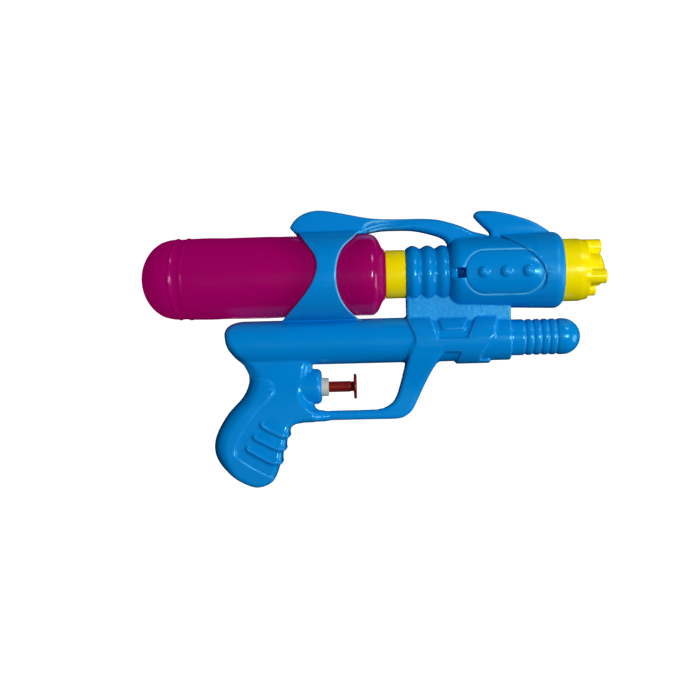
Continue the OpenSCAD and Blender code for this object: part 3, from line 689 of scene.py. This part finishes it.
collar = rounded([(68.5, 9.95, 0.25), (68.5, 12.05, 0.45), (78.3, 12.05, 0.3), (78.3, 9.6, 0.1), (80.5, 9.6, 0.1), (80.5, 10.8, 0.2), (82.5, 10.8, 0.2),
                  (82.5, 1.15, 0.1), (86.4, 1.15, 0.1), (86.4, 0.7, 0.1), (72, 0.7, 0.1), (72, 1.15, 0.1), (77.6, 1.15, 0.1), (77.6, 9.95, 0.2)])
collar_ob = lathe("collar_moulding", collar, 75.0, "body", ["tank_collar"], 128)
add_thread(collar_ob, 71.4, 75.0, 10.2, 9.15, 1.4, 0.7, 3.0, 1.5)

plunger = [(29.8, 0), (29.8, 1.4)] + rounded([(29.8, 1.9, 0.3), (31.8, 1.9, 0.15), (31.8, 3.25, 0.2), (33, 3.25, 0.1), (33, 2.4, 0.1), (34.8, 2.4, 0.1), (34.8, 3.25, 0.1),
                                              (35.7, 3.25, 0.2), (35.7, 2.68, 0.1), (49.4, 2.68, 0.3), (50.2, 2.43, 0.3), (51.35, 2.43, 0.4), (51.5, 5.9, 0.5),
                                              (51.75, 6.25, 0.45), (52.75, 6.2, 0.55), (53.1, 5.0, 0.8)])[0:] + [(53.0, 2.5), (52.95, 0)]
plunger_ob = lathe("plunger_moulding", plunger, 19.6, "trigger", ["plunger"], 96)

barrel = rounded([(14.05, 3.55, 0.2), (14.05, 4.55, 0.3), (29.1, 4.55, 0.1), (29.1, 6.3, 0.2), (31.1, 6.3, 0.2), (31.1, 4.55, 0.1), (39, 4.55, 0.6), (39, 3.55, 0.35)])
barrel_ob = lathe("pump_barrel_moulding", barrel, 19.6, "body", ["pump_barrel"], 96)


def coil(name, x0, x1, z, r, wire, turns, n=32, m=10):
    """Compression spring along x with a closed turn at each end."""
    flat = 2.15 * wire
    pitch = (x1 - x0 - 2 * flat) / (turns - 2)
    bm = bmesh.new()
    rows = []
    for i in range(n * turns + 1):
        s = i / n
        a = 2 * math.pi * s
        x = x0 + flat * (min(s, 1) + max(s - turns + 1, 0)) + pitch * min(max(s - 1, 0), turns - 2)
        row = []
        for k in range(m):
            b = 2 * math.pi * k / m
            q = r + wire * math.cos(b)
            row.append(bm.verts.new(((x + wire * math.sin(b)) * MM, -q * math.sin(a) * MM, (z + q * math.cos(a)) * MM)))
        rows.append(row)
    for a, b in zip(rows[:-1], rows[1:]):
        for k in range(m):
            l = (k + 1) % m
            bm.faces.new((a[k], a[l], b[l], b[k]))
    bm.faces.new(rows[0])
    bm.faces.new(rows[-1][::-1])
    bmesh.ops.recalc_face_normals(bm, faces=bm.faces)
    me = bpy.data.meshes.new(name)
    bm.to_mesh(me)
    bm.free()
    me.polygons.foreach_set("use_smooth", np.ones(len(me.polygons), bool))
    me.set_sharp_from_angle(angle=math.radians(50))
    ob = bpy.data.objects.new(name, me)
    scene.collection.objects.link(ob)
    return ob


spring_ob = coil("return_spring_coil", 16.45, 31.35, 19.6, 2.7, 0.35, 7)
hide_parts("return_spring")
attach(spring_ob, "body")


# ------------------------------------------------------------------ muzzle crown
def build_muzzle():
    f = Field((150.6, -18.4, 56.6), (180.0, 18.4, 93.4), 0.3)
    rho = f.rho(75.0)
    X = f.X
    rr = 15.6 - np.clip(X - 164.4, 0, 6) * 0.22
    cup = corner(np.maximum(152.2 - X, X - 168.8), rho - rr, 0.5)
    flange = corner(np.maximum(152.2 - X, X - 154.3), rho - 16.9, 0.3)
    d = smin(cup, flange, 0.3)
    hollow = np.maximum(np.maximum(rho - 13.0, 4.4 - rho), X - 166.0)
    d = smax(d, -hollow, 0.3)
    hub = np.sqrt((X - 163.5) ** 2 + rho ** 2) - 14.6
    hub = np.maximum(corner(hub, rho - 8.2, 0.8), 166.5 - X)
    d = smin(d, hub, 0.6)
    for turn, end in ((20, 176.9), (128, 174.8), (263, 176.8)):
        a = math.radians(turn)
        cy, cz = -11.6 * math.cos(a), 75 - 11.6 * math.sin(a)
        q = np.sqrt((f.U - cy) ** 2 + (f.Z - cz) ** 2)
        lug = corner(np.maximum(164.5 - X, X - end), q - 3.7, 1.0)
        d = smin(d, np.maximum(lug, 165.0 - X), 0.5)
    d = smax(d, -(rho - 2.48), 0.3)
    d = np.maximum(d, -np.maximum(rho - 3.5, X - 158.1))
    return f, d


mf, md = build_muzzle()
pts, quads = mf.surface(md)
muzzle_ob = grid_object("muzzle_moulding", pts, quads, False)
thin_out(muzzle_ob, min(1.0, 60000 / (2 * len(quads))))
shade_from(muzzle_ob, mf, md, 1)
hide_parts("muzzle")
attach(muzzle_ob, "body")


# ------------------------------------------------------------------ materials
def linear(r, g, b):
    f = lambda v: v / 12.92 if v <= 0.04045 else ((v + 0.055) / 1.055) ** 2.4
    return (f(r / 255), f(g / 255), f(b / 255), 1.0)


class Mat:
    def __init__(self, name):
        self.m = bpy.data.materials.new(name)
        self.m.use_nodes = True
        self.t = self.m.node_tree
        self.p = self.t.nodes["Principled BSDF"]
        self.pos = self.t.nodes.new("ShaderNodeTexCoord").outputs["Object"]

    def node(self, kind, **kw):
        n = self.t.nodes.new(kind)
        for k, v in kw.items():
            setattr(n, k, v)
        return n

    def link(self, a, b):
        self.t.links.new(a, b)

    def noise(self, scale, detail=3.0, rough=0.55, stretch=None):
        n = self.node("ShaderNodeTexNoise")
        n.inputs["Scale"].default_value = scale
        n.inputs["Detail"].default_value = detail
        n.inputs["Roughness"].default_value = rough
        src = self.pos
        if stretch:
            mp = self.node("ShaderNodeMapping")
            mp.inputs["Scale"].default_value = stretch
            self.link(src, mp.inputs["Vector"])
            src = mp.outputs["Vector"]
        self.link(src, n.inputs["Vector"])
        return n.outputs["Fac"]

    def spread(self, fac, lo, hi, a=0.3, b=0.7):
        n = self.node("ShaderNodeMapRange")
        n.inputs["From Min"].default_value = a
        n.inputs["From Max"].default_value = b
        n.inputs["To Min"].default_value = lo
        n.inputs["To Max"].default_value = hi
        self.link(fac, n.inputs["Value"])
        return n.outputs["Result"]

    def ramp(self, fac, stops):
        n = self.node("ShaderNodeValToRGB")
        while len(n.color_ramp.elements) < len(stops):
            n.color_ramp.elements.new(0.5)
        for e, (p, col) in zip(n.color_ramp.elements, stops):
            e.position, e.color = p, col
        self.link(fac, n.inputs["Fac"])
        return n.outputs["Color"]

    def mix(self, fac, a, b):
        n = self.node("ShaderNodeMix", data_type="RGBA")
        for v, k in ((a, 6), (b, 7)):
            if isinstance(v, tuple):
                n.inputs[k].default_value = v
            else:
                self.link(v, n.inputs[k])
        if isinstance(fac, float):
            n.inputs[0].default_value = fac
        else:
            self.link(fac, n.inputs[0])
        return n.outputs[2]

    def math(self, op, a, b):
        n = self.node("ShaderNodeMath", operation=op)
        for v, k in ((a, 0), (b, 1)):
            if isinstance(v, (int, float)):
                n.inputs[k].default_value = v
            else:
                self.link(v, n.inputs[k])
        return n.outputs[0]

    def attr(self, name):
        return self.node("ShaderNodeAttribute", attribute_name=name).outputs["Fac"]

    def bumps(self, layers):
        """layers: (height, distance in metres, strength)"""
        last = None
        for h, dist, strength in layers:
            b = self.node("ShaderNodeBump")
            b.inputs["Distance"].default_value = dist
            if isinstance(strength, (int, float)):
                b.inputs["Strength"].default_value = strength
            else:
                self.link(strength, b.inputs["Strength"])
            self.link(h, b.inputs["Height"])
            if last:
                self.link(last, b.inputs["Normal"])
            last = b.outputs["Normal"]
        self.link(last, self.p.inputs["Normal"])

    def set(self, **kw):
        for k, v in kw.items():
            self.p.inputs[k.replace("_", " ")].default_value = v


def shade(col, k):
    return (min(col[0] * k, 1), min(col[1] * k, 1), min(col[2] * k, 1), 1.0)


def toward(col, other, k):
    return tuple(col[i] * (1 - k) + other[i] * k for i in range(3)) + (1.0,)


def moulded(name, col, rough, edge_value=False, grain=False, fine=1500, peel=0.00002):
    """Glossy moulded plastic: flow-mark tint, orange-peel skin, rub marks, convex edges paler from wear and painted
    highlight, and painted highlight lines.
    """
    m = Mat(name)
    flow = m.noise(24, 2.5, 0.5, (1.0, 2.2, 1.8))
    base = m.ramp(flow, [(0.32, shade(col, 0.97)), (0.5, col), (0.68, shade(col, 1.03))])
    rub = m.noise(160, 4.0, 0.65, (0.5, 1.0, 1.0))
    rough_out = m.spread(rub, rough - 0.025, rough + 0.035)
    if edge_value:
        e = m.attr("edge")
        # convex edges paler, partly from wear and partly as a painted highlight
        wear_and_highlight = m.math("MULTIPLY", e, m.spread(m.noise(240, 3.0), 0.04, 0.26))
        base = m.mix(wear_and_highlight, base, toward(shade(col, 1.6), (1, 1, 1), 0.06))
        rough_out = m.math("ADD", rough_out, m.math("MULTIPLY", wear_and_highlight, 0.22))
        # painted highlight lines: pale blue near the panel's rim, the band's front edge and the handle crests
        base = m.mix(m.math("MULTIPLY", m.spread(m.attr("painted_highlight_mm"), 1.0, 0.0, 0.05, 0.5), m.spread(m.noise(90, 3.0), 0.3, 0.75)), base, (0.2, 0.76, 1.0, 1.0))
        matt = m.attr("matt")
        rough_out = m.math("ADD", rough_out, m.math("MULTIPLY", matt, 0.2))
    layers = [(m.noise(fine, 2.0), peel, 0.55), (m.noise(140, 2.0), 0.00006, 0.12)]
    if edge_value:
        layers.append((m.noise(760, 4.0, 0.7), 0.00005, matt))
    if grain:
        g = m.attr("grain")
        spots = m.noise(620, 5.0, 0.75)
        patch = m.spread(m.noise(70, 2.0), 0.25, 1.0)
        pale = m.math("MULTIPLY", m.math("MULTIPLY", g, patch), m.spread(spots, 0.0, 0.95, 0.42, 0.68))
        base = m.mix(pale, base, (0.03, 0.4, 0.94, 1.0))
        rough_out = m.math("ADD", rough_out, m.math("MULTIPLY", g, 0.12))
        layers.append((spots, 0.00012, g))
    m.link(base, m.p.inputs["Base Color"])
    m.link(rough_out, m.p.inputs["Roughness"])
    m.bumps(layers)
    return m


BLUE = linear(0, 134, 216)
PURPLE = linear(152, 0, 92)
YELLOW = linear(252, 232, 0)
RED = linear(122, 20, 12)
WHITE = linear(190, 194, 184)

blue = moulded("blue_moulded_plastic", BLUE, 0.17, True, True)
blue.set(IOR=1.47, Specular_Tint=(0.3, 1.0, 1.0, 1.0))
purple = moulded("purple_tank_plastic", shade(PURPLE, 0.52), 0.16, False, False, 900, 0.00003)
# painted light: the tank glows in its own colour on a darkened base colour, flattening its shading
purple.set(IOR=1.47, Specular_Tint=(1.0, 0.7, 0.95, 1.0), Emission_Color=PURPLE)
# dull where the collar rubs on the shoulder
along = purple.node("ShaderNodeSeparateXYZ")
purple.link(purple.pos, along.inputs[0])
purple.link(purple.spread(along.outputs["X"], 0.5, 0.02, 0.0628, 0.0648), purple.p.inputs["Specular IOR Level"])
# painted shade beside the band, where the glow is weaker, and painted light at the domed end, where it is stronger
glow = purple.math("ADD", purple.spread(purple.attr("painted_band_shade"), 0.53, 0.31, 0.0, 1.0),
                   purple.spread(along.outputs["X"], 0.12, 0.0, -0.053, -0.032))
purple.link(glow, purple.p.inputs["Emission Strength"])
yellow = moulded("yellow_moulded_plastic", YELLOW, 0.2, False)
yellow.set(IOR=1.47, Specular_Tint=(1.0, 1.0, 0.5, 1.0))
red = moulded("red_plunger_plastic", RED, 0.3)
red.set(Specular_Tint=(1.0, 0.55, 0.5, 1.0))
white = moulded("white_pump_plastic", WHITE, 0.38)


def hose_material():
    m = Mat("clear_hose_vinyl")
    tint = m.ramp(m.noise(90, 2.0), [(0.3, linear(206, 214, 214)), (0.7, linear(232, 236, 234))])
    m.link(tint, m.p.inputs["Base Color"])
    m.link(m.spread(m.noise(400, 3.0), 0.22, 0.36), m.p.inputs["Roughness"])
    m.bumps([(m.noise(700, 2.0), 0.00002, 0.5)])
    m.set(Subsurface_Weight=0.3, Subsurface_Scale=0.002, IOR=1.45)
    return m


def rubber_material():
    m = Mat("black_seal_rubber")
    tint = m.ramp(m.noise(600, 3.0), [(0.35, linear(22, 22, 24)), (0.7, linear(44, 44, 46))])
    m.link(tint, m.p.inputs["Base Color"])
    m.link(m.spread(m.noise(900, 3.0), 0.62, 0.8), m.p.inputs["Roughness"])
    m.bumps([(m.noise(2400, 2.0), 0.00004, 0.7)])
    return m


def steel_material():
    m = Mat("zinc_plated_steel")
    tint = m.ramp(m.noise(500, 3.0), [(0.3, linear(150, 152, 156)), (0.7, linear(196, 198, 200))])
    m.link(tint, m.p.inputs["Base Color"])
    m.link(m.spread(m.noise(900, 4.0), 0.22, 0.42), m.p.inputs["Roughness"])
    m.bumps([(m.noise(2600, 2.0), 0.00002, 0.6)])
    m.set(Metallic=1.0)
    return m


hose, rubber, steel = hose_material(), rubber_material(), steel_material()


def paint(ob, mat):
    me = ob.data
    if not len(me.materials):
        me.materials.append(mat.m)
    for slot in ob.material_slots:
        slot.material = mat.m


for ob in shells:
    paint(ob, blue)
paint(tank_ob, purple)
paint(collar_ob, yellow)
paint(muzzle_ob, yellow)
paint(plunger_ob, red)
paint(barrel_ob, white)
paint(spring_ob, steel)
for names, mat in ((("right_shell", "left_shell"), blue), (("tank_bottle",), purple), (("tank_collar", "muzzle"), yellow), (("plunger",), red),
                   (("pump_barrel", "gland_bush", "valve_block", "inlet_cap", "outlet_cap", "jet_nozzle"), white),
                   (("pickup_tube", "suction_hose", "discharge_hose"), hose),
                   (("tank_gasket", "piston_seal", "barrel_seal"), rubber),
                   (("case_screws", "return_spring", "inlet_ball", "outlet_ball"), steel)):
    for n in names:
        paint(NODES[n], mat)


# ------------------------------------------------------------------ floor and light
def stage_plane(name, size, z):
    bm = bmesh.new()
    bmesh.ops.create_grid(bm, x_segments=4, y_segments=4, size=size)
    me = bpy.data.meshes.new(name)
    bm.to_mesh(me)
    bm.free()
    ob = bpy.data.objects.new(name, me)
    ob.location = (0.06, 0, z)
    scene.collection.objects.link(ob)
    return ob


floor = stage_plane("floor", 6.0, -0.25)
fm = Mat("pale_floor")
tint = fm.ramp(fm.noise(3, 2.0), [(0.3, (0.86, 0.86, 0.86, 1)), (0.7, (0.9, 0.9, 0.9, 1))])
fm.link(tint, fm.p.inputs["Base Color"])
fm.set(Roughness=0.9, Emission_Color=(1, 1, 1, 1), Emission_Strength=1.0)
paint(floor, fm)
floor.visible_diffuse = False
floor.visible_glossy = False


def dome():
    """Plain white studio sweep, seen by the camera only."""
    bm = bmesh.new()
    bmesh.ops.create_uvsphere(bm, u_segments=48, v_segments=24, radius=8.0)
    me = bpy.data.meshes.new("backdrop")
    bm.to_mesh(me)
    bm.free()
    ob = bpy.data.objects.new("backdrop", me)
    scene.collection.objects.link(ob)
    m = bpy.data.materials.new("white_backdrop")
    m.use_nodes = True
    p = m.node_tree.nodes["Principled BSDF"]
    p.inputs["Base Color"].default_value = (0.9, 0.9, 0.9, 1)
    p.inputs["Emission Color"].default_value = (1, 1, 1, 1)
    p.inputs["Emission Strength"].default_value = 1.0
    me.materials.append(m)
    ob.visible_diffuse = ob.visible_glossy = ob.visible_shadow = ob.visible_transmission = False


dome()
world = bpy.data.worlds.new("studio")
world.use_nodes = True
world.node_tree.nodes["Background"].inputs["Color"].default_value = (0.93, 0.97, 1.0, 1)
world.node_tree.nodes["Background"].inputs["Strength"].default_value = 0.1
scene.world = world
world.cycles_visibility.glossy = False


def area(name, at, to, size, power, mirrored=True, colour=(1, 1, 1)):
    """Soft box; mirrored ones show as highlights on the glossy plastic."""
    L = bpy.data.lights.new(name, "AREA")
    L.shape = "RECTANGLE"
    L.size, L.size_y = size
    L.energy = power
    L.color = colour
    ob = bpy.data.objects.new(name, L)
    ob.location = at
    ob.rotation_euler = (Vector(to) - Vector(at)).to_track_quat("-Z", "Y").to_euler()
    ob.visible_glossy = mirrored
    ob.visible_camera = False
    scene.collection.objects.link(ob)
    return ob


area("key", (0.84, -1.58, 0.02), (0.06, 0, 0.05), (0.5, 0.3), 18.5)
area("key_high", (0.83, -0.92, 1.12), (0.06, 0, 0.05), (0.35, 0.35), 4.2)
area("fill", (0.1, -1.5, -0.2), (0.06, 0, 0.03), (0.8, 0.8), 3.2, False)
area("rim", (1.2, -0.2, -0.17), (0.1, 0, 0.05), (0.55, 0.55), 5.0)
area("back", (0.35, 1.0, 1.1), (0.06, 0, 0.05), (0.9, 0.7), 5.0, False)
area("far_side", (0.05, 1.6, 0.04), (0.06, 0, 0.04), (0.6, 0.6), 8.0, False)
# highlights on the far shell and on the screw heads in it
gloss = area("far_gloss", (-0.1, 1.4, 0.35), (0.06, 0, 0.04), (0.8, 0.45), 6.0)
far_pieces = bpy.data.collections.new("far_pieces")
far_pieces.objects.link(shells[1])
far_pieces.objects.link(NODES["case_screws"])
gloss.light_linking.receiver_collection = far_pieces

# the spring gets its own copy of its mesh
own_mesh(spring_ob)
